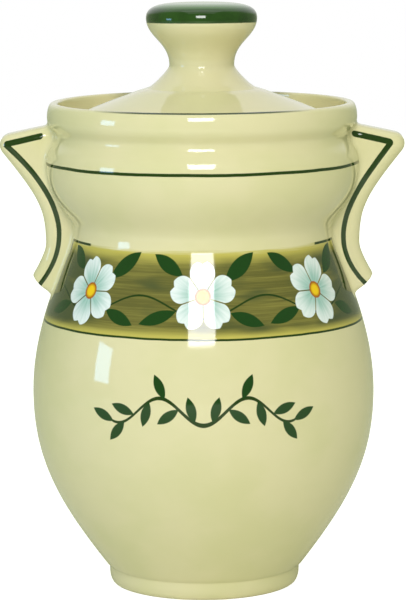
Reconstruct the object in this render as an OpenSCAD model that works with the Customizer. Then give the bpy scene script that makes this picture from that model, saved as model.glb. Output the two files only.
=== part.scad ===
// Lidded stoneware pot for fruit steeped in spirit: a full belly, a drawn-in neck, a bell-shaped
// shoulder with a grooved collar, two solid lug handles and an inset lid with a hollow knob.
// The pot stands on its foot ring at z = 0, its axis is Z and the handles point along X.

/* [Foot and belly] */
// Diameter of the foot at its widest
foot_d = 112.4; // [96:0.2:120]
// Height of the foot
foot_h = 12; // [10:0.5:18]
// Width of the flat ring that the pot stands on
foot_ring_w = 6.5; // [4:0.5:12]
// Thickness of the base
base_t = 8; // [6:0.5:10]
// Diameter of the belly at its widest
belly_d = 201; // [180:1:230]
// Height from the top of the foot to the widest belly
belly_rise = 103; // [80:1:130]
// Thickness of the wall
wall = 6; // [4:0.5:8]

/* [Neck and shoulder] */
// Diameter of the neck at its narrowest
neck_d = 152.4; // [136:0.2:164]
// Height from the widest belly to the neck
neck_rise = 97; // [80:1:115]
// Diameter of the bell-shaped shoulder
shoulder_d = 184; // [178:1:200]
// Height from the neck to the widest shoulder
shoulder_rise = 38; // [30:0.5:50]

/* [Collar and rim] */
// Diameter at the bottom of the groove under the rim
collar_d = 172; // [166:0.5:176]
// Height from the shoulder to the groove
collar_rise = 16.5; // [13:0.5:22]
// How far the rim stands out from the groove
rim_bead = 4.5; // [2:0.5:7]
// Height of the rim above the groove
rim_h = 18.5; // [16:0.5:24]
// Thickness of the rim's wall behind the groove
collar_t = 2; // [1.5:0.25:3]
// Width of the ledge that the lid rests on
ledge_w = 7; // [5:0.5:10]
// Thickness of the ledge
ledge_t = 5.5; // [4:0.5:8]
// Depth of the ledge below the top of the rim
ledge_depth = 15.5; // [11:0.5:17]

/* [Lid] */
// Gap between the lid's edge and the rim, all round
lid_gap = 1.5; // [0.5:0.25:3]
// Height of the lid's edge
lid_edge_h = 5.4; // [4:0.2:7]
// Rise of the lid from its edge to the foot of the knob
lid_rise = 19.3; // [12:0.1:28]
// Thickness of the lid
lid_t = 6; // [4:0.5:8]
// Thickness of the lid in the middle, where the knob stands
lid_mid_t = 9.5; // [9:0.25:12]
// Width of the flat ring under the lid's edge
lid_seat_w = 6; // [4:0.5:9]
// Diameter of the vent under the hollow knob
vent_d = 3; // [2:0.25:3.5]

/* [Knob] */
// Diameter of the knob at its widest
knob_d = 64.8; // [50:0.2:80]
// Diameter of the knob's waist
knob_waist_d = 37.6; // [30:0.2:46]
// Diameter of the knob's foot on the lid
knob_foot_d = 59; // [50:0.5:72]
// Height from the knob's foot to its waist
knob_waist_rise = 12.2; // [9:0.1:18]
// Height from the waist to the widest of the knob
knob_stem_rise = 27.3; // [20:0.1:36]
// Height from the widest of the knob to its top
knob_cap_h = 8.8; // [6:0.1:14]
// Depth of the coloured cap, measured down from the top
knob_colour_h = 12; // [8:0.5:20]
// Thickness of the knob's wall
knob_t = 6; // [4:0.5:8]

/* [Handles] */
// Thickness of a handle, front to back
lug_t = 23; // [18:1:30]
// Rounding of a handle's edges
lug_round = 6.5; // [4:0.5:8]
// How far the tip stands out beyond the shoulder
lug_reach = 26; // [18:0.5:36]
// Drop from the groove to the tip
lug_tip_drop = 6; // [3:0.5:12]
// How far the grip stands out from the neck
lug_grip = 15.5; // [12:0.5:22]
// Drop from the neck to the narrowest of the grip
lug_grip_drop = 10; // [4:0.5:16]
// How far the toe stands out from the grip
lug_toe_out = 8; // [4:0.5:14]
// Drop from the narrowest of the grip to the toe
lug_toe_drop = 18; // [14:0.5:24]
// Angle between the cut end of the toe and the pot's axis
lug_cut_angle = 39; // [25:1:55]

/* [Hidden] */
$fn = 120;

CREAM = [0.86, 0.83, 0.66];
GREEN = [0.22, 0.34, 0.14];

foot_r = foot_d / 2;
belly_r = belly_d / 2;
neck_r = neck_d / 2;
shoulder_r = shoulder_d / 2;
collar_r = collar_d / 2;
rim_r = collar_r + rim_bead;
mouth_r = collar_r - collar_t;
throat_r = mouth_r - ledge_w;

floor_z = foot_h + 0.5;
foot_hollow = floor_z - base_t;
foot_ring_slope = 3;
mouth_round = 1.5;
belly_z = foot_h + belly_rise;
neck_z = belly_z + neck_rise;
shoulder_z = neck_z + shoulder_rise;
collar_z = shoulder_z + collar_rise;
rim_z = collar_z + rim_h;
ledge_z = rim_z - ledge_depth;
bead_z = collar_z + rim_h / 2;

lid_r = mouth_r - lid_gap;
lid_edge_z = ledge_z + lid_edge_h;
knob_foot_r = knob_foot_d / 2;
knob_foot_z = lid_edge_z + lid_rise;
knob_waist_r = knob_waist_d / 2;
knob_waist_z = knob_foot_z + knob_waist_rise;
knob_r = knob_d / 2;
knob_wide_z = knob_waist_z + knob_stem_rise;
knob_top_z = knob_wide_z + knob_cap_h;
knob_colour_z = knob_top_z - knob_colour_h;

// Cubic curve from a to d, with b and c as its handles
function curve(a, b, c, d, steps) = [
    for (i = [0:steps])
        let (t = i / steps, s = 1 - t)
        s * s * s * a + 3 * s * s * t * b + 3 * s * t * t * c + t * t * t * d
];

// Curve between two points that is upright at both ends
function swing(a, d, low, high, steps) =
    let (h = d[1] - a[1])
    curve(a, a + [0, low * h], d - [0, high * h], d, steps);

// A list without its first point
function rest_of(path) = [for (i = [1:len(path) - 1]) path[i]];

function reversed(path) = [for (i = [len(path) - 1:-1:0]) path[i]];

function every_other(path) = [for (i = [0:2:len(path) - 1]) path[i]];

// The path moved sideways by d, to its left
function beside(path, d) = [
    for (i = [0:len(path) - 1])
        let (
            run = path[min(i + 1, len(path) - 1)] - path[max(i - 1, 0)],
            side = [-run[1], run[0]] / norm(run)
        )
        path[i] + d * side
];

// Jar profile, outside, from the bottom up. The belly leaves the foot at belly_lean.
foot_ring_out = foot_r - 3.7;
foot_ring_in = foot_ring_out - foot_ring_w;
foot_join = [foot_r + 1.7, foot_h];
belly_lean = [0.756, 1];
foot_path = concat(
    curve(
        [foot_ring_out, 0],
        [foot_ring_out + 2.2, 0],
        [foot_r, foot_h * 0.25],
        [foot_r, foot_h * 0.6],
        5
    ),
    [[foot_r, foot_h * 0.9]]
);
belly_path = curve(
    foot_join,
    foot_join + 0.373 * belly_rise * belly_lean,
    [belly_r, belly_z - 0.386 * belly_rise],
    [belly_r, belly_z],
    12
);
neck_path = swing([belly_r, belly_z], [neck_r, neck_z], 0.473, 0.16, 16);
shoulder_path = swing([neck_r, neck_z], [shoulder_r, shoulder_z], 0.225, 0.55, 12);
body_path = concat(belly_path, rest_of(neck_path), rest_of(shoulder_path));
rim_path = concat(
    swing([shoulder_r, shoulder_z], [collar_r, collar_z], 0.6, 0.35, 8),
    rest_of(swing([collar_r, collar_z], [rim_r, bead_z], 0.3, 0.5, 6)),
    rest_of(curve(
        [rim_r, bead_z],
        [rim_r, bead_z + (rim_z - bead_z) * 0.6],
        [rim_r - rim_bead * 0.3, rim_z],
        [mouth_r + 2 * mouth_round, rim_z],
        6
    ))
);
outer_path = concat(foot_path, body_path, rest_of(rim_path));

// Jar profile, inside, from the top down to the floor
gallery_path = concat(
    curve(
        [mouth_r + mouth_round, rim_z],
        [mouth_r + mouth_round * 0.4, rim_z],
        [mouth_r, rim_z - mouth_round * 0.6],
        [mouth_r, rim_z - mouth_round],
        3
    ),
    [[mouth_r, ledge_z], [throat_r, ledge_z]]
);
hollow_path = every_other(beside(body_path, wall));
hollow_top = hollow_path[len(hollow_path) - 1];
hollow_foot = hollow_path[0];
ledge_path = swing(hollow_top, [throat_r, ledge_z - ledge_t], 0.5, 0.4, 5);
floor_corner = hollow_foot - (hollow_foot[1] - floor_z) * belly_lean;
floor_path = curve(hollow_foot, floor_corner, floor_corner, floor_corner - [10, 0], 4);
inner_path = concat(gallery_path, reversed(ledge_path), rest_of(reversed(hollow_path)), rest_of(floor_path));

module pot_solid() {
    rotate_extrude() polygon(concat([[0, 0]], outer_path, [[0, rim_z]]));
}

module jar() {
    color(CREAM) rotate_extrude() polygon(concat(
        [[0, foot_hollow], [foot_ring_in - foot_ring_slope, foot_hollow], [foot_ring_in, 0]],
        outer_path,
        inner_path,
        [[0, floor_z]]
    ));
}

// Handles: the line that the rounded edge runs along, from the tip down to the toe
lug_tip = [shoulder_r + lug_reach - lug_round, collar_z - lug_tip_drop];
lug_waist = [neck_r + lug_grip - lug_round, neck_z - lug_grip_drop];
toe_corner = [neck_r + lug_grip + lug_toe_out, lug_waist[1] - lug_toe_drop];
toe_run = [0.64, -0.77];
lug_toe = toe_corner - lug_round * [0.77, 0.64];
lug_top_slope = 0.24;
lug_root = neck_r - 2 * wall;
lug_edge = concat(
    curve(lug_tip, lug_tip - [23.5, 29], lug_waist + [0, 21], lug_waist, 16),
    rest_of(curve(lug_waist, lug_waist - [0, 6.5], lug_toe - 2 * toe_run, lug_toe, 8))
);
lug_core = concat(
    [[lug_root, lug_tip[1] + lug_top_slope * (lug_tip[0] - lug_root)]],
    lug_edge,
    [lug_toe + 2 * lug_round * toe_run, [lug_root, lug_toe[1] - 2 * lug_round]]
);

module lug() {
    difference() {
        minkowski() {
            rotate([90, 0, 0]) linear_extrude(lug_t - 2 * lug_round, center = true) polygon(lug_core);
            sphere(lug_round, $fn = 24);
        }
        pot_solid();
        translate([toe_corner[0], 0, toe_corner[1]]) rotate([0, lug_cut_angle, 0])
            translate([0, -lug_t, -3 * lug_t]) cube([2 * lug_t, 2 * lug_t, 4 * lug_t]);
    }
}

module handle_right() {
    color(CREAM) lug();
}

module handle_left() {
    color(CREAM) mirror([1, 0, 0]) lug();
}

// Lid: a shallow cone on a flat seat ring, level and thicker under the knob
lid_edge_round = 1.5;
lid_slope = lid_rise / (lid_r - knob_foot_r);
lid_seat_r = lid_r - lid_seat_w;
lid_flat_r = knob_foot_r + (lid_mid_t - lid_t) / lid_slope;
lid_flat_z = knob_foot_z - lid_mid_t;
lid_path = concat(
    [[lid_seat_r, ledge_z], [lid_r - lid_edge_round, ledge_z], [lid_r, ledge_z + lid_edge_round]],
    curve(
        [lid_r, lid_edge_z - 2 * lid_edge_round],
        [lid_r, lid_edge_z - lid_edge_round / 2],
        [lid_r - lid_edge_round, lid_edge_z + lid_edge_round * lid_slope],
        [lid_r - 2 * lid_edge_round, lid_edge_z + 2 * lid_edge_round * lid_slope],
        5
    ),
    [[knob_foot_r, knob_foot_z], [vent_d / 2, knob_foot_z], [vent_d / 2, lid_flat_z]],
    curve(
        [lid_flat_r - 8, lid_flat_z],
        [lid_flat_r, lid_flat_z],
        [lid_flat_r, lid_flat_z],
        [lid_flat_r + 8, lid_flat_z - 8 * lid_slope],
        5
    )
);

module lid() {
    color(CREAM) rotate_extrude() polygon(lid_path);
}

// Knob: a flared foot, a waist and a mushroom head, hollow, with its top glazed another colour
knob_path = concat(
    curve(
        [knob_foot_r, knob_foot_z],
        [knob_foot_r - 1, knob_foot_z + 0.5],
        [knob_waist_r, knob_waist_z - 2.7],
        [knob_waist_r, knob_waist_z],
        8
    ),
    rest_of(swing([knob_waist_r, knob_waist_z], [knob_r, knob_wide_z], 0.49, 0.41, 10)),
    rest_of(curve(
        [knob_r, knob_wide_z],
        [knob_r, knob_top_z],
        [knob_r * 0.62, knob_top_z],
        [0, knob_top_z],
        9
    ))
);
knob_bore_r = knob_waist_r - knob_t;
knob_hollow_r = knob_r - knob_t;
knob_hollow_path = concat(
    [[knob_bore_r, knob_foot_z]],
    swing([knob_bore_r, knob_waist_z], [knob_hollow_r, knob_wide_z], 0.55, 0.35, 5),
    rest_of(curve(
        [knob_hollow_r, knob_wide_z],
        [knob_hollow_r, knob_top_z - knob_t],
        [knob_hollow_r * 0.62, knob_top_z - knob_t],
        [0, knob_top_z - knob_t],
        4
    ))
);

module knob_form() {
    rotate_extrude() polygon(concat(knob_path, reversed(knob_hollow_path)));
}

module knob_cap_zone() {
    translate([0, 0, knob_colour_z]) cylinder(h = knob_colour_h + 1, r = knob_r + 1);
}

module knob() {
    color(GREEN) intersection() {
        knob_form();
        knob_cap_zone();
    }
    color(CREAM) difference() {
        knob_form();
        knob_cap_zone();
    }
}

jar();
handle_left();
handle_right();
lid();
knob();
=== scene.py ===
from math import cos, hypot, pi, radians, sin

import bpy
from mathutils import Matrix, Vector
from mathutils.bvhtree import BVHTree


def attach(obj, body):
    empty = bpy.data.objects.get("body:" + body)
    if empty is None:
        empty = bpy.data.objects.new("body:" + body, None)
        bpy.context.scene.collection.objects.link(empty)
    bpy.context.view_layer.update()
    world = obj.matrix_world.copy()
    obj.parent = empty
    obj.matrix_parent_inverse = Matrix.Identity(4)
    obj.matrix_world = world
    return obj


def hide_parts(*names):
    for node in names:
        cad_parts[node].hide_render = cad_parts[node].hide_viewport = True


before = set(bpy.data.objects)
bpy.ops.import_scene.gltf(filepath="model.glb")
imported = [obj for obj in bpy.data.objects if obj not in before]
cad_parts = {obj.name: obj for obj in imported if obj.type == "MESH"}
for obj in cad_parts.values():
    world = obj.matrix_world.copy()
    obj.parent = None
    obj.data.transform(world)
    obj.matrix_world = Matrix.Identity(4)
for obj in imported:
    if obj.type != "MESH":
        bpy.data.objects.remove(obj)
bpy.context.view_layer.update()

MM = 0.001

# Photograph's camera: a long lens that looks slightly down at the pot
CAMERA_LENS = 180
CAMERA_SENSOR = 36
CAMERA_PLACE = (0, -1.7469, 0.4182)
CAMERA_TILT = radians(81.85)
CAMERA_ROLL = radians(-0.3)

# Lamps: the name, azimuth, elevation, distance, size, glow and tint of each. Azimuth 0 is in
# front of the pot.
LAMPS = [
    ("front_box", -1, 30.3, 2.2, (0.68, 0.785), 15.2, (1, 1, 1)),
    ("left_window", -71.5, 7.2, 2.0, (0.43, 0.42), 8, (0.33, 0.62, 1)),
    ("ceiling", 0, 85, 2.2, (1.6, 1.6), 0.65, (1, 1, 1)),
]
POT_MIDDLE = Vector((0, 0, 0.18))
WORLD_LEVEL = 0.44
FLOOR_SIZE = 6
FLOOR_ROUGH = 0.9
FLOOR_GLOW = 0.9

# Colours as a screen shows them, from 0 to 255
WHITE = (255, 255, 255)
SHADE_TINT = (238, 250, 212)
FLOOR_GREY = (238, 238, 226)
CREAM = (228, 219, 180)
CREAM_THIN = (209, 208, 152)
STONEWARE = (206, 190, 162)
LINE_GREEN = (26, 56, 0)
CAP_GREEN = (24, 60, 6)
CAP_GREEN_THIN = (46, 88, 22)
CAP_GREEN_SHEEN = (78, 134, 44)
BAND_PALE = (196, 184, 84)
BAND_OLIVE = (84, 82, 0)
BAND_GREEN = (38, 58, 0)
LEAF_GREEN = (10, 62, 6)
PETAL_WHITE = (238, 246, 252)
PETAL_SHADE = (150, 196, 190)
EYE_YELLOW = (250, 208, 4)
EYE_BROWN = (170, 84, 4)

# Fired glaze, the swell in its surface, and how much rougher the bare clay of the foot is
GLAZE_ROUGH = 0.06
GLAZE_IOR = 1.52
GLAZE_SWELL = 0.35 * MM
CLAY_ROUGHER = 0.7

# From here to the handles' lines, sizes and heights are in millimetres, as Paint measures them.
# A grain is the size of a noise's clouds along x, y and z, and a wobble is a grain and a reach.
# A turn, and the angle at which the band's ends begin, are in radians. A leaf's lean is in degrees.
SWELL_GRAIN = (38, 38, 30)
CREAM_GRAIN = (60, 60, 45)
CREAM_THIN_SHARE = 0.35
FOOT_BARE = 0.4

# Brushed band round the neck
BAND_RADIUS = 87
BAND_LOW = 158.8
BAND_HIGH = 206.5
BAND_COVER = 0.94
BRISTLE_GRAIN = (55, 55, 1.5)
BRISTLE_REACH = 7
WASH_GRAIN = (40, 40, 14)
WASH_START = (7, 3, 1)
WASH_GREEN = 0.62
BAND_ENDS = 0.95
BAND_ENDS_GREENER = 0.35

# Painted lines on the jar: rings by height and width, and lines beside the handles along the band's
# top and end. A painted shade inside the rim's crest stands in for the gap under the lid and the
# knob's dark reflection, and fades out towards the sides
SHOULDER_LINE = 250.7
RINGS = [(BAND_LOW, 1.2), (SHOULDER_LINE, 1.8)]
RING_WOBBLE = ((30, 30, 200), 1.1)
BY_HANDLE = 64
BAND_TOP = 206.4
BAND_TOP_WIDTH = 1.4
BAND_END = 17.6
BAND_END_WIDTH = 2.2
BAND_END_LOW = 180
RIM_SHADE_RADIUS = 88.4
RIM_SHADE_LOW = 282
RIM_SHADE_SIDE = 71
RIM_SHADE_FADE = 22

# Frieze on the band. A leaf's start, lean, length and width are measured from its blossom.
BLOSSOM_Z = 182
BLOSSOM_STEP = 73
BLOSSOM_RADIUS = 19.5
BLOSSOM_TURN = 0.3
BLOSSOM_TURN_STEP = 0.35
PETALS = 5
PETAL_DIP = 0.1
PETAL_GAP = 0.35
PETAL_STREAKS = 7
PETAL_STREAK_LENGTH = 16
EYE_RADIUS = 4.6
LEAVES = [
    ((13, 8), 38, 25, 9),
    ((-12, 11), 148, 22, 8),
    ((15, -9), -22, 20, 7),
    ((-15, -8), 200, 22, 7),
]
STEM_DROP = 6
STEM_SWING = 6
STEM_WIDTH = 1.1

# Sprig on the belly. A leaf has its place along the stem and its lean. The slant makes a
# distance straight up to the stem into about the distance across it.
BELLY_RADIUS = 100
SPRIG_Z = 119
SPRIG_WAVE = 50
SPRIG_SWING = 7.5
SPRIG_REACH = 54
SPRIG_WIDTH = 2.1
SPRIG_TAPER = 0.016
SPRIG_SLANT = 0.8
SPRIG_LEAF_LENGTH = 15
SPRIG_LEAF_WIDTH = 5.6
SPRIG_LEAVES = [(5, 75), (14, -35), (22, 65), (31, -75), (40, 20), (46, -50), (53, 25)]

# Green cap of the knob, with a painted sheen that makes it lighter above its shoulder. Its lower
# edge rises a little towards the front and the back.
CAP_LINE = 330.8
CAP_LINE_RISE = 0.03
CAP_WOBBLE = ((25, 25, 200), 0.4)
CAP_GRAIN = (16, 16, 12)
CAP_SHOULDER = 340.5

# Lines on the handles. A bow is nearest to the pot's axis at its waist, at a height. One rise
# from there it is further out by its bow, less its lean above and more its lean below. A bar
# starts at its top and slopes down between two distances from the axis.
RIGHT_LINE = {
    "waist": 82, "height": 207, "bow": 35.2, "lean": 11, "bar": (88.5, 109), "top": 266.6
}
LEFT_LINE = {
    "waist": 83.6, "height": 209, "bow": 31.2, "lean": 3, "bar": (94, 113.4), "top": 266
}
RISE = 50
BOW_WIDTH = 2.8
BOW_WIDER = 0.5
BAR_WIDTH = 3.6
BAR_SLOPE = 0.23
BOW_BELOW_BAR = 0.8
HANDLE_WOBBLE = ((14, 40, 14), 0.5)
HANDLE_EDGE = 8

# Turned pieces, and the edge of the knob's foot that is drawn into the lid
WELD = 0.002 * MM
SEAM_WELD = 0.02 * MM
TURN_STEPS = 96
SHARP_ANGLE = radians(32)
SMOOTH_ANGLE = radians(40)
CORNER_ROUND = 0.7 * MM
KNOB_FOOT = 294.2 * MM
KNOB_FOOT_SLACK = 0.1 * MM
KNOB_FOOT_EDGE = 29 * MM
KNOB_FOOT_SPREAD = 1.1
KNOB_FOOT_DROP = 1.75 * MM

# Luted handles: the root goes into the jar's wall, inside a thick patch of the jar's skin. From
# its edge to its border, measured from the handle, the patch is drawn onto the wall's surface,
# and from there it sinks a little under it, over its fade.
ROOT_TOUCH = 0.4 * MM
ROOT_DEPTH = 3 * MM
SKIN_DEPTH = 4 * MM
SKIN_WIDTH = 12 * MM
SKIN_EDGE = 3 * MM
SKIN_BORDER = 5.5 * MM
SKIN_FADE = 6 * MM
SKIN_SINK = 0.35 * MM
SKIN_GAP = 1 * MM
CLAY_GRAIN = 0.8 * MM
FILLET_REACH = 7 * MM
FILLET_STROKES = 40
CLAY_STROKES = 6
STROKE_FORCE = 0.5


def screen(shade):
    """The linear colour of a screen colour"""
    parts = [part / 255 for part in shade]
    linear = [p / 12.92 if p <= 0.04045 else ((p + 0.055) / 1.055) ** 2.4 for p in parts]
    return (*linear, 1.0)


class Value:
    """What comes out of a node. Maths on it is written as Python and adds Math nodes."""

    def __init__(self, paint, socket):
        self.paint = paint
        self.socket = socket

    def __add__(self, other):
        return self.paint.maths("ADD", self, other)

    def __radd__(self, other):
        return self.paint.maths("ADD", other, self)

    def __sub__(self, other):
        return self.paint.maths("SUBTRACT", self, other)

    def __rsub__(self, other):
        return self.paint.maths("SUBTRACT", other, self)

    def __mul__(self, other):
        return self.paint.maths("MULTIPLY", self, other)

    def __rmul__(self, other):
        return self.paint.maths("MULTIPLY", other, self)

    def __truediv__(self, other):
        return self.paint.maths("DIVIDE", self, other)

    def __pow__(self, other):
        return self.paint.maths("POWER", self, other)

    def __abs__(self):
        return self.paint.maths("ABSOLUTE", self)


class Paint:
    """The nodes of one material or world"""

    def __init__(self, owner):
        owner.use_nodes = True
        self.owner = owner
        self.tree = owner.node_tree
        self.tree.nodes.clear()

    def measure(self):
        """Adds x, y and z, the piece's own coordinates in millimetres"""
        metres = self.node("ShaderNodeTexCoord", {}, {}, "Object")
        self.spot = self.node(
            "ShaderNodeVectorMath", {"operation": "SCALE"}, {"Vector": metres, "Scale": 1 / MM}
        )
        self.x, self.y, self.z = [
            self.node("ShaderNodeSeparateXYZ", {}, {0: self.spot}, axis) for axis in "XYZ"
        ]

    def node(self, kind, settings, inputs, output=0):
        """Adds a node, its settings first and then its inputs, and returns one of its outputs"""
        node = self.tree.nodes.new(kind)
        for name, setting in settings.items():
            setattr(node, name, setting)
        for name, value in inputs.items():
            if isinstance(value, Value):
                self.tree.links.new(value.socket, node.inputs[name])
            else:
                node.inputs[name].default_value = value
        return Value(self, node.outputs[output]) if len(node.outputs) else None

    def maths(self, operation, *terms):
        """One sum, as a Math node"""
        return self.node("ShaderNodeMath", {"operation": operation}, dict(enumerate(terms)))

    def larger(self, first, second):
        """The larger of two values"""
        return self.maths("MAXIMUM", first, second)

    def ray(self, kind):
        """1 for rays of a kind, such as Camera, and 0 for the others"""
        return self.node("ShaderNodeLightPath", {}, {}, f"Is {kind} Ray")

    def seen(self):
        """1 for what the camera sees, by itself or through something clear"""
        return self.larger(self.ray("Camera"), self.ray("Transmission"))

    def distance(self, across, up):
        """The distance from the middle of two directions"""
        return (across * across + up * up) ** 0.5

    def angle(self, up, across):
        """The angle round the middle of two directions, 0 along the second"""
        return self.maths("ARCTAN2", up, across)

    def below(self, value, limit, fade):
        """1 where a value is under its limit and 0 over it, with a soft step between"""
        ends = {"From Min": limit - fade / 2, "From Max": limit + fade / 2}
        settings = {"interpolation_type": "SMOOTHSTEP"}
        return self.node(
            "ShaderNodeMapRange", settings, {"Value": value, **ends, "To Min": 1.0, "To Max": 0.0}
        )

    def above(self, value, limit, fade):
        """1 where a value is over its limit and 0 under it, with a soft step between"""
        return 1 - self.below(value, limit, fade)

    def stroke(self, value, width, fade=0.35):
        """1 along a painted line, where a distance from it is near 0"""
        return self.below(abs(value), width * 0.5, fade)

    def noise(self, grain, detail=2.0, roughness=0.5, start=(0, 0, 0)):
        """Cloudy noise from 0 to 1, with grains of a size in millimetres along x, y and z"""
        turn = {"Vector": self.spot, "Location": start, "Scale": [1 / size for size in grain]}
        spot = self.node("ShaderNodeMapping", {}, turn)
        return self.node(
            "ShaderNodeTexNoise",
            {},
            {"Vector": spot, "Scale": 1.0, "Detail": detail, "Roughness": roughness},
        )

    def wobble(self, grain, reach):
        """A slow unevenness of the brush, half its reach up and half down"""
        return (self.noise(grain) - 0.5) * reach

    def mix(self, share, first, second):
        """The first colour where share is 0, and the second where it is 1"""
        first, second = [
            shade if isinstance(shade, Value) else screen(shade) for shade in (first, second)
        ]
        return self.node(
            "ShaderNodeMix", {"data_type": "RGBA"}, {0: share, 6: first, 7: second}, 2
        )

    def finish(self, shade, rough=GLAZE_ROUGH):
        """A glazed surface, with a slight swell in its gloss as fired glaze has"""
        height = self.noise(SWELL_GRAIN, 1.0) * GLAZE_SWELL
        bump = self.node(
            "ShaderNodeBump", {}, {"Height": height, "Strength": 1.0, "Distance": 1.0}
        )
        surface = self.node(
            "ShaderNodeBsdfPrincipled",
            {},
            {"Base Color": shade, "Roughness": rough, "IOR": GLAZE_IOR, "Normal": bump},
        )
        self.node("ShaderNodeOutputMaterial", {}, {"Surface": surface})
        return self.owner


def glaze(name):
    """The paint of a new glaze"""
    paint = Paint(bpy.data.materials.new(name))
    paint.measure()
    return paint


def cream(paint):
    """The cream glaze, thinner and greener in slow clouds"""
    clouds = paint.noise(CREAM_GRAIN, 3.0, 0.55)
    thin = paint.above(clouds, 0.52, 0.3) * CREAM_THIN_SHARE
    return paint.mix(thin, CREAM, CREAM_THIN)


def leaf(paint, across, up, start, lean, length, width):
    """A pointed leaf that begins at a point and leans at an angle"""
    c, s = cos(radians(lean)), sin(radians(lean))
    along = (across - start[0]) * c + (up - start[1]) * s
    beside = (up - start[1]) * c - (across - start[0]) * s
    middle = along * (2 / length) - 1
    return paint.below(abs(beside) - width / 2 * (1 - middle * middle), 0, 0.5)


def wave(paint, along, length, swing):
    """A line that waves up and down, lowest where along is 0"""
    return paint.maths("COSINE", along * (2 * pi / length)) * -swing


def streaks(paint, turn, away):
    """Noise drawn out from the middle of a blossom to its tips"""
    spot = {"X": turn * PETAL_STREAKS, "Y": away / PETAL_STREAK_LENGTH}
    spot = paint.node("ShaderNodeCombineXYZ", {}, spot)
    inputs = {"Vector": spot, "Scale": 1.0, "Detail": 2.0}
    return paint.node("ShaderNodeTexNoise", {"noise_dimensions": "2D"}, inputs)


def petals(paint, shade, turn, away):
    """Broad petals, each with a dip in its tip. Their edge is 0 in the middle and 1 at a side."""
    share = paint.maths("FRACT", turn * (PETALS / (2 * pi)) + PETALS)
    edge = abs(share - 0.5) * 2
    dip = paint.larger(1 - edge * 4, 0)
    # A little over 1, so that the root is never taken of a number below 0
    bulge = (1.0001 - edge * edge) ** 0.5
    tip = BLOSSOM_RADIUS * (0.5 + 0.5 * bulge - PETAL_DIP * dip)
    gap = (1 - edge) * away * (pi / PETALS)
    petal = paint.below(away, tip, 0.5) * paint.above(gap, PETAL_GAP, 0.4)
    depth = paint.below(away, tip * 0.62, BLOSSOM_RADIUS * 0.6)
    depth = depth * 0.75 + streaks(paint, turn, away) * 0.7 - 0.25
    return paint.mix(petal, shade, paint.mix(depth, PETAL_WHITE, PETAL_SHADE))


def blossom(paint, shade, across, up, lean):
    """A blossom of broad petals round a yellow eye"""
    away = paint.distance(across, up)
    shade = petals(paint, shade, paint.angle(up, across) + lean, away)
    eye = paint.mix(paint.above(away, EYE_RADIUS * 0.7, EYE_RADIUS * 0.5), EYE_YELLOW, EYE_BROWN)
    return paint.mix(paint.below(away, EYE_RADIUS, 0.6), shade, eye)


def frieze(paint, shade):
    """Blossoms and leaves on a waving stem, three blossoms on the front and three on the back"""
    along = paint.angle(paint.x, abs(paint.y)) * BAND_RADIUS
    cell = paint.maths("ROUND", along / BLOSSOM_STEP)
    cell = paint.maths("MINIMUM", paint.larger(cell, -1), 1)
    across = along - cell * BLOSSOM_STEP
    up = paint.z - BLOSSOM_Z
    stem = up + STEM_DROP - wave(paint, across, BLOSSOM_STEP, STEM_SWING)
    shade = paint.mix(paint.stroke(stem, STEM_WIDTH), shade, LINE_GREEN)
    for start, lean, length, width in LEAVES:
        shade = paint.mix(leaf(paint, across, up, start, lean, length, width), shade, LEAF_GREEN)
    return blossom(paint, shade, across, up, cell * BLOSSOM_TURN_STEP + BLOSSOM_TURN)


def sprig(paint, shade):
    """A waving stem with leaves on the front of the belly, the same to the left and the right"""
    across = abs(paint.angle(paint.x, 0 - paint.y)) * BELLY_RADIUS
    up = paint.z - SPRIG_Z
    stem = up - wave(paint, across, SPRIG_WAVE, SPRIG_SWING)
    stem = paint.stroke(stem * SPRIG_SLANT, SPRIG_WIDTH - across * SPRIG_TAPER)
    shade = paint.mix(stem * paint.below(across, SPRIG_REACH, 1), shade, LINE_GREEN)
    for start, lean in SPRIG_LEAVES:
        root = (start, -SPRIG_SWING * cos(2 * pi * start / SPRIG_WAVE))
        green = leaf(paint, across, up, root, lean, SPRIG_LEAF_LENGTH, SPRIG_LEAF_WIDTH)
        shade = paint.mix(green, shade, LEAF_GREEN)
    return shade


def band(paint, shade, wobble):
    """The brushed olive band, pale along its edges and greener towards the handles"""
    z = paint.z
    brush = paint.noise(BRISTLE_GRAIN, 4.0, 0.65)
    wash = paint.noise(WASH_GRAIN, start=WASH_START)
    depth = paint.above(z, BAND_LOW + 3.5, 6) * paint.below(z, BAND_HIGH - 5.5, 9)
    olive = paint.mix(depth * (0.4 + brush), BAND_PALE, BAND_OLIVE)
    ends = paint.above(abs(paint.angle(paint.x, abs(paint.y))), BAND_ENDS, 0.6)
    green = depth * paint.above(wash + ends * BAND_ENDS_GREENER, WASH_GREEN, 0.25)
    olive = paint.mix(green, olive, BAND_GREEN)
    top = paint.below(z + brush * BRISTLE_REACH + wobble * 2, BAND_HIGH + 3, 3)
    return paint.mix(paint.above(z + wobble, BAND_LOW, 0.5) * top * BAND_COVER, shade, olive)


def jar_lines(paint, wobble):
    """The rings round the jar, and the lines along the band's top and end by each handle"""
    z = paint.z
    by_handle = paint.above(abs(paint.x), BY_HANDLE, 1)
    band_top = paint.stroke(z + wobble - BAND_TOP, BAND_TOP_WIDTH) * by_handle
    band_end = paint.stroke(abs(paint.y) - BAND_END, BAND_END_WIDTH) * by_handle
    band_end = band_end * paint.above(z, BAND_END_LOW, 3) * paint.below(z, BAND_TOP, 1)
    lines = paint.larger(band_top, band_end)
    for height, width in RINGS:
        lines = paint.larger(lines, paint.stroke(z + wobble - height, width))
    return lines


def rim_gap_shade(paint):
    """Painted shade and painted reflection inside the rim's crest, where the gap under the lid and
    the knob darken it, on the front and the back
    """
    inside = paint.below(paint.distance(paint.x, paint.y), RIM_SHADE_RADIUS, 0.4)
    crest = inside * paint.above(paint.z, RIM_SHADE_LOW, 0.4)
    return crest * paint.above(abs(paint.y), RIM_SHADE_SIDE, RIM_SHADE_FADE)


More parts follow.
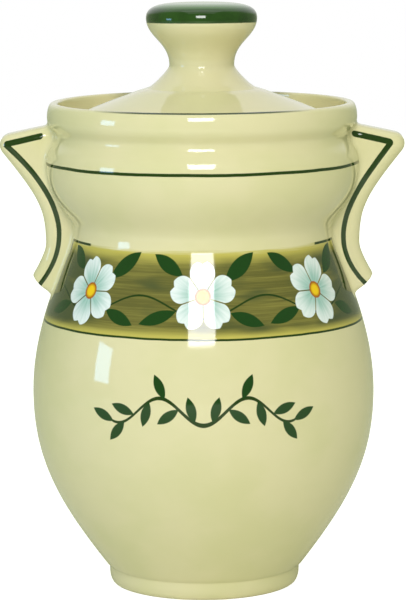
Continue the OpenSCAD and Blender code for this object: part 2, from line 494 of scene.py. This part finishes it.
def jar_glaze():
    """Cream glaze with a brushed band, painted lines and blossoms, and painted shade inside the
    rim's crest. The foot ring is bare.
    """
    paint = glaze("jar_glaze")
    outside = paint.node("ShaderNodeAttribute", {"attribute_name": "outside"}, {}, "Fac")
    wobble = paint.wobble(*RING_WOBBLE)
    plain = cream(paint)
    shade = sprig(paint, frieze(paint, band(paint, plain, wobble)))
    shade = paint.mix(jar_lines(paint, wobble), shade, LINE_GREEN)
    shade = paint.mix(outside, plain, shade)
    # Painted shade and painted reflection: a dark line inside the rim's crest, for the gap under
    # the lid
    shade = paint.mix(rim_gap_shade(paint), shade, LINE_GREEN)
    bare = paint.below(paint.z, FOOT_BARE, 0.3)
    shade = paint.mix(bare, shade, STONEWARE)
    return paint.finish(shade, GLAZE_ROUGH + bare * CLAY_ROUGHER)


def plain_glaze():
    """Cream glaze alone, for the lid"""
    paint = glaze("plain_glaze")
    return paint.finish(cream(paint))


def knob_glaze():
    """Cream glaze with a green cap, lighter above its shoulder with a painted sheen"""
    paint = glaze("knob_glaze")
    wobble = paint.wobble(*CAP_WOBBLE)
    clouds = paint.noise(CAP_GRAIN, 3.0, 0.6)
    green = paint.mix(paint.above(clouds, 0.5, 0.4) * 0.5, CAP_GREEN, CAP_GREEN_THIN)
    # Painted sheen: the cap's green is lighter above its shoulder
    green = paint.mix(paint.above(paint.z, CAP_SHOULDER, 4), green, CAP_GREEN_SHEEN)
    edge = paint.z + wobble - abs(paint.y) * CAP_LINE_RISE
    return paint.finish(paint.mix(paint.above(edge, CAP_LINE, 0.5), cream(paint), green))


def handle_glaze(name, line):
    """Cream glaze with a painted line on the front and the back of the handle"""
    paint = glaze(name)
    across, z = abs(paint.x), paint.z
    wobble = paint.wobble(*HANDLE_WOBBLE)
    rise = (z - line["height"]) / RISE
    curve = line["waist"] + rise * rise * (line["bow"] - rise * line["lean"])
    steep = rise * (2 * line["bow"] / RISE) - rise * rise * (3 * line["lean"] / RISE)
    bow = (across - curve + wobble) / (1 + steep * steep) ** 0.5
    first, last = line["bar"]
    beyond = paint.larger(paint.larger(first - across, across - last), 0)
    bar = z - line["top"] + (across - first) * BAR_SLOPE + wobble
    bow = paint.stroke(bow, BOW_WIDTH + rise * BOW_WIDER) * paint.below(bar, -BOW_BELOW_BAR, 0.5)
    bar = paint.stroke(paint.distance(bar, beyond), BAR_WIDTH)
    lines = paint.larger(bow, bar) * paint.above(abs(paint.y), HANDLE_EDGE, 0.5)
    return paint.finish(paint.mix(lines, cream(paint), LINE_GREEN))


def only(piece):
    """Selects one piece and nothing else"""
    bpy.ops.object.select_all(action="DESELECT")
    piece.select_set(True)
    bpy.context.view_layer.objects.active = piece


def shape(piece, work):
    """Runs some edit-mode work on a piece, with all of it selected first"""
    only(piece)
    bpy.ops.object.mode_set(mode="EDIT")
    bpy.ops.mesh.select_all(action="SELECT")
    work()
    bpy.ops.object.mode_set(mode="OBJECT")


def modify(piece, kind, **settings):
    """Adds a modifier and applies it"""
    only(piece)
    modifier = piece.modifiers.new(kind.lower(), kind)
    for name, setting in settings.items():
        setattr(modifier, name, setting)
    bpy.ops.object.modifier_apply(modifier=modifier.name)


def new_piece(name, mesh):
    """A new piece with its own copy of a mesh"""
    piece = bpy.data.objects.new(name, mesh.copy())
    bpy.context.scene.collection.objects.link(piece)
    return piece


def copy_of(node, name):
    """A CAD node's shape as a new piece, its loose triangles joined"""
    piece = new_piece(name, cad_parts[node].data)
    piece.data.materials.clear()
    shape(piece, lambda: bpy.ops.mesh.remove_doubles(threshold=WELD))
    return piece


def turned(node, name):
    """A CAD node of round form, turned anew from its profile so that it is smooth"""
    piece = copy_of(node, name)

    def cut():
        flat = {"use_fill": False, "threshold": WELD}
        bpy.ops.mesh.bisect(
            plane_co=(0, 0, 0), plane_no=(0, 1, 0), clear_inner=True, clear_outer=True, **flat
        )
        bpy.ops.mesh.select_all(action="SELECT")
        bpy.ops.mesh.bisect(plane_co=(0, 0, 0), plane_no=(1, 0, 0), clear_inner=True, **flat)
        bpy.ops.mesh.select_all(action="SELECT")

    def spin():
        bpy.ops.mesh.remove_doubles(threshold=SEAM_WELD)
        bpy.ops.mesh.spin(steps=TURN_STEPS, angle=2 * pi, center=(0, 0, 0), axis=(0, 0, 1))
        bpy.ops.mesh.select_all(action="SELECT")
        bpy.ops.mesh.remove_doubles(threshold=SEAM_WELD)
        bpy.ops.mesh.normals_make_consistent(inside=False)

    shape(piece, cut)
    shape(piece, spin)
    return piece


def smooth_round(piece):
    """Softens the corners of a turned piece and smooths the rest"""
    def soften():
        bpy.ops.mesh.select_mode(type="EDGE")
        bpy.ops.mesh.select_all(action="DESELECT")
        bpy.ops.mesh.edges_select_sharp(sharpness=SHARP_ANGLE)
        bpy.ops.mesh.bevel(offset=CORNER_ROUND, segments=2, affect="EDGES")

    shape(piece, soften)
    modify(piece, "SUBSURF", levels=1, render_levels=1)
    only(piece)
    bpy.ops.object.shade_smooth_by_angle(angle=SMOOTH_ANGLE)


def faces_out(place, normal):
    """Whether a normal points away from the pot's axis"""
    return place.x * normal.x + place.y * normal.y > 0


def mark_outside(piece):
    """Marks where a turned piece faces outward, so that the paint stays off its inside"""
    mark = piece.data.attributes.new("outside", "FLOAT", "POINT")
    for vertex in piece.data.vertices:
        mark.data[vertex.index].value = float(faces_out(vertex.co, vertex.normal))


def merge_foot(knob):
    """Draws the edge of the knob's foot out and into the lid, as the glaze fills the joint"""
    for vertex in knob.data.vertices:
        low = vertex.co.z < KNOB_FOOT + KNOB_FOOT_SLACK
        if low and hypot(*vertex.co.xy) > KNOB_FOOT_EDGE:
            vertex.co.xy *= KNOB_FOOT_SPREAD
            vertex.co.z -= KNOB_FOOT_DROP


def surface_of(piece):
    """A piece's faces in a tree that finds the nearest one"""
    mesh = piece.data
    return BVHTree.FromPolygons([v.co for v in mesh.vertices], [f.vertices for f in mesh.polygons])


def apart(surface, point):
    """How far a point is outside a surface, or 0 inside it"""
    nearest, normal, _, distance = surface.find_nearest(point)
    return distance if (Vector(point) - nearest).dot(normal) > 0 else 0.0


def ease(share):
    """A soft step from 0 to 1"""
    share = min(max(share, 0.0), 1.0)
    return share * share * (3 - 2 * share)


def sink_root(lug, wall):
    """Moves the face that the handle is luted with into the jar's wall"""
    root = [vertex for vertex in lug.data.vertices if apart(wall, vertex.co) < ROOT_TOUCH]
    for vertex in root:
        vertex.co.x -= ROOT_DEPTH


def skin_round(solid, jar):
    """A thick patch of the jar's outer skin, round the place where the handle joins it"""
    skin = new_piece("skin", jar.data)
    for face in skin.data.polygons:
        outer = faces_out(face.center, face.normal) and face.center.x > 0
        face.select = not (outer and apart(solid, face.center) < SKIN_WIDTH)
    only(skin)
    bpy.ops.object.mode_set(mode="EDIT")
    bpy.ops.mesh.delete(type="FACE")
    bpy.ops.object.mode_set(mode="OBJECT")
    modify(skin, "SOLIDIFY", thickness=SKIN_DEPTH, offset=-1)
    return skin


def smooth_clay(lug, solid, wall):
    """Smooths the joint into a soft fillet, and then the whole handle a little"""
    group = lug.vertex_groups.new(name="joint")
    for vertex in lug.data.vertices:
        reach = hypot(apart(solid, vertex.co), apart(wall, vertex.co))
        group.add([vertex.index], ease((FILLET_REACH - reach) / (FILLET_REACH / 2)), "REPLACE")
    stroke = {"factor": STROKE_FORCE}
    modify(lug, "SMOOTH", iterations=FILLET_STROKES, vertex_group="joint", **stroke)
    modify(lug, "SMOOTH", iterations=CLAY_STROKES, **stroke)
    lug.vertex_groups.clear()


def settle_border(lug, solid, wall):
    """Draws the patch onto the jar's wall away from the handle, and sinks its outermost part"""
    for vertex in lug.data.vertices:
        away = apart(solid, vertex.co)
        nearest, normal, _, gap = wall.find_nearest(vertex.co)
        if away > SKIN_EDGE and gap < SKIN_GAP:
            spot = nearest - normal * SKIN_SINK * ease((away - SKIN_BORDER) / SKIN_FADE)
            vertex.co = vertex.co.lerp(spot, ease((away - SKIN_EDGE) / (SKIN_BORDER - SKIN_EDGE)))


def luted_handle(jar, name):
    """The right handle, its clay smoothed and its root luted to the jar with a soft fillet"""
    lug = copy_of("handle_right", name)
    solid, wall = surface_of(lug), surface_of(jar)
    sink_root(lug, wall)
    skin = skin_round(solid, jar)
    only(lug)
    skin.select_set(True)
    bpy.ops.object.join()
    modify(lug, "REMESH", mode="VOXEL", voxel_size=CLAY_GRAIN)
    smooth_clay(lug, solid, wall)
    settle_border(lug, solid, wall)
    only(lug)
    bpy.ops.object.shade_smooth()
    return lug


def mirrored(piece, name):
    """The same piece on the pot's other side, with its own mesh"""
    other = new_piece(name, piece.data)
    other.scale.x = -1
    only(other)
    bpy.ops.object.transform_apply(location=False, rotation=False, scale=True)
    shape(other, lambda: bpy.ops.mesh.normals_make_consistent(inside=False))
    return other


def dress(piece, node, body, glaze):
    """Hands a finished piece over: its glaze, the body it rides on and the node it stands for"""
    piece.data.materials.append(glaze)
    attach(piece, body)
    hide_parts(node)


def lamp(name, azimuth, elevation, distance, size, glow, tint):
    """A soft box that faces the pot. Its glow is its brightness as seen."""
    side, rise = radians(azimuth), radians(elevation)
    place = Vector((sin(side) * cos(rise), -cos(side) * cos(rise), sin(rise))) * distance
    bpy.ops.object.light_add(type="AREA", location=place + POT_MIDDLE)
    box = bpy.context.object
    box.name = name
    box.rotation_euler = place.to_track_quat("Z", "Y").to_euler()
    box.data.shape = "RECTANGLE"
    box.data.size, box.data.size_y = size
    box.data.energy = glow * pi * size[0] * size[1]
    box.data.color = tint


def white_world():
    """White to the camera, and to glossy surfaces where it is high behind the pot, and a dimmer
    light elsewhere"""
    paint = Paint(bpy.data.worlds.new("studio"))
    way = paint.node("ShaderNodeTexCoord", {}, {}, "Generated")
    back, high = [paint.node("ShaderNodeSeparateXYZ", {}, {0: way}, axis) for axis in "YZ"]
    white = paint.larger(paint.seen(), paint.ray("Glossy") * paint.above(back + high, 1, 0.3))
    shade = paint.mix(white, SHADE_TINT, WHITE)
    level = white * (1 - WORLD_LEVEL) + WORLD_LEVEL
    light = paint.node("ShaderNodeBackground", {}, {"Color": shade, "Strength": level})
    paint.node("ShaderNodeOutputWorld", {}, {"Surface": light})
    bpy.context.scene.world = paint.owner


def white_floor():
    """A floor that looks white but keeps the pot's shadow"""
    bpy.ops.mesh.primitive_plane_add(size=FLOOR_SIZE)
    floor = bpy.context.object
    floor.name = "floor"
    paint = Paint(bpy.data.materials.new("floor_white"))
    surface = paint.node(
        "ShaderNodeBsdfPrincipled",
        {},
        {
            "Base Color": screen(FLOOR_GREY),
            "Roughness": FLOOR_ROUGH,
            "Emission Color": screen(WHITE),
            "Emission Strength": paint.seen() * FLOOR_GLOW,
        },
    )
    paint.node("ShaderNodeOutputMaterial", {}, {"Surface": surface})
    floor.data.materials.append(paint.owner)


def camera():
    """The photograph's camera, with colours shown as they are written"""
    turn = Matrix.Rotation(CAMERA_TILT, 3, "X") @ Matrix.Rotation(CAMERA_ROLL, 3, "Z")
    bpy.ops.object.camera_add(location=CAMERA_PLACE, rotation=turn.to_euler())
    scene = bpy.context.scene
    scene.camera = bpy.context.object
    scene.camera.data.lens = CAMERA_LENS
    scene.camera.data.sensor_width = CAMERA_SENSOR
    scene.view_settings.view_transform = "Standard"


white_world()
white_floor()
for setup in LAMPS:
    lamp(*setup)
camera()
crock = turned("jar", "crock")
smooth_round(crock)
mark_outside(crock)
lid = turned("lid", "crock_lid")
smooth_round(lid)
knob = turned("knob", "crock_knob")
merge_foot(knob)
smooth_round(knob)
lug_right = luted_handle(crock, "lug_right")
lug_left = mirrored(lug_right, "lug_left")
dress(crock, "jar", "pot", jar_glaze())
dress(lug_right, "handle_right", "pot", handle_glaze("right_glaze", RIGHT_LINE))
dress(lug_left, "handle_left", "pot", handle_glaze("left_glaze", LEFT_LINE))
dress(lid, "lid", "lid", plain_glaze())
dress(knob, "knob", "lid", knob_glaze())
